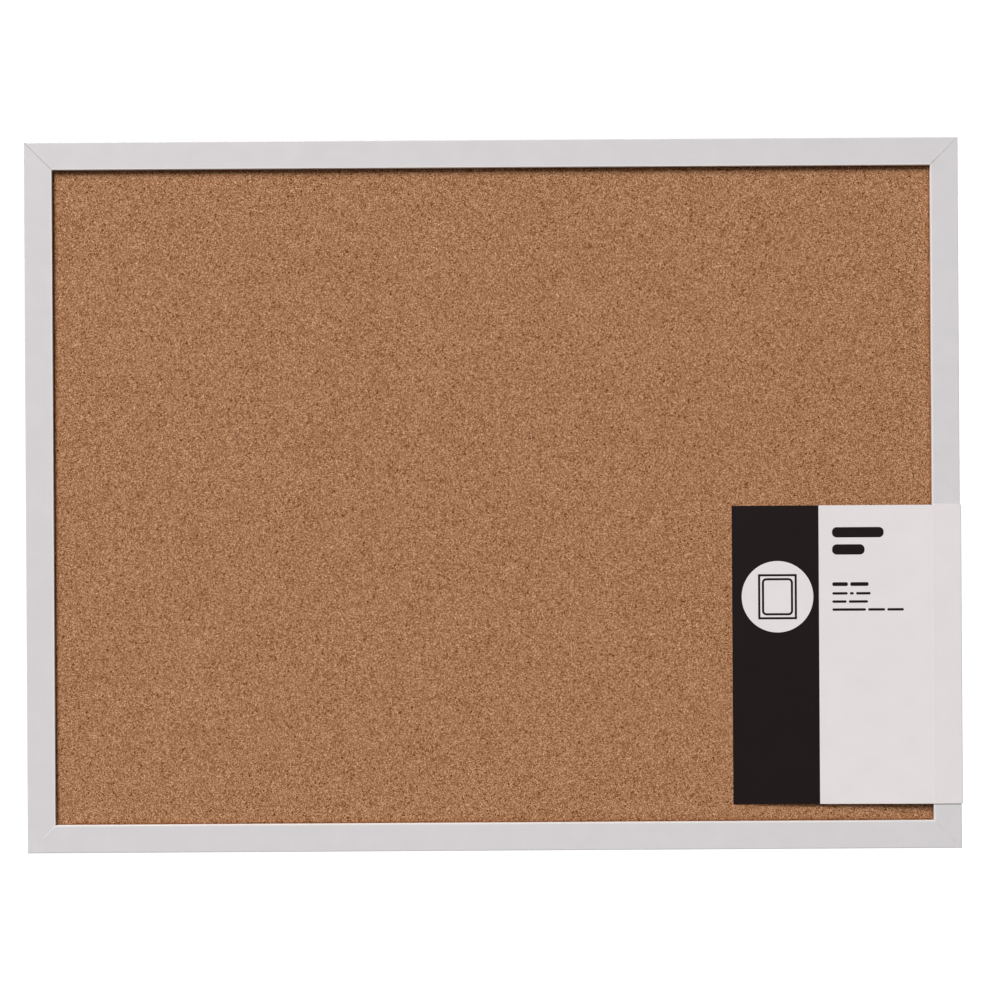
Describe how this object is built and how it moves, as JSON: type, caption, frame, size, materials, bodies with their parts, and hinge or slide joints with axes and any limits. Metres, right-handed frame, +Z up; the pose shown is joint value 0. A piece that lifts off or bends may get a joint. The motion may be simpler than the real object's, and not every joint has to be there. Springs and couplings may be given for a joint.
{
  "type": "cork bulletin board",
  "caption": "Framed cork notice board with mitred hollow plastic rails, a layered pin-up panel, swinging ring hangers, wall bumpers and a folded card sleeve that pulls off the side.",
  "frame": {"origin": "middle of the wall plane behind the board, where the rear bumpers touch the wall", "axes": "+X to the right as the cork is seen, +Z up, the cork faces -Y and the wall is at Y = 0"},
  "size_m": [0.4906, 0.0206, 0.373],
  "materials": {
    "frame_plastic": "satin off-white extruded plastic",
    "key_plastic": "matte moulded plastic",
    "cork": "matte fine-grained agglomerated cork",
    "fibre_board": "matte soft fibreboard",
    "hardboard": "smooth brown hardboard",
    "strap_steel": "zinc-plated sheet steel",
    "ring_steel": "nickel-plated wire",
    "screw_steel": "zinc-plated steel",
    "bumper_rubber": "milky translucent soft rubber",
    "printed_card": "coated white card with a printed black band"
  },
  "bodies": {
    "board": {"frame_rail_top": "frame_plastic", "frame_rail_bottom": "frame_plastic", "frame_rail_left": "frame_plastic", "frame_rail_right": "frame_plastic", "corner_key_top_left": "key_plastic", "corner_key_top_right": "key_plastic", "corner_key_bottom_left": "key_plastic", "corner_key_bottom_right": "key_plastic", "cork_sheet": "cork", "fibre_core": "fibre_board", "back_sheet": "hardboard", "hanger_strap_left": "strap_steel", "hanger_strap_right": "strap_steel", "hanger_screw_left": "screw_steel", "hanger_screw_right": "screw_steel", "wall_bumper_top_left": "bumper_rubber", "wall_bumper_top_right": "bumper_rubber", "wall_bumper_bottom_left": "bumper_rubber", "wall_bumper_bottom_right": "bumper_rubber"},
    "ring_left": {"hanger_ring_left": "ring_steel"},
    "ring_right": {"hanger_ring_right": "ring_steel"},
    "sleeve": {"card_sleeve": "printed_card"}
  },
  "joints": [
    {"name": "ring_left_swing", "type": "hinge", "parent": "board", "child": "ring_left", "pos_m": [-0.2378, -0.0029, 0.12], "axis": [1, 0, 0], "range_deg": [0, 180]},
    {"name": "ring_right_swing", "type": "hinge", "parent": "board", "child": "ring_right", "pos_m": [0.2378, -0.0029, 0.12], "axis": [1, 0, 0], "range_deg": [0, 180]},
    {"name": "sleeve_slide", "type": "slide", "parent": "board", "child": "sleeve", "axis": [1, 0, 0], "range_m": [0, 0.13]}
  ]
}
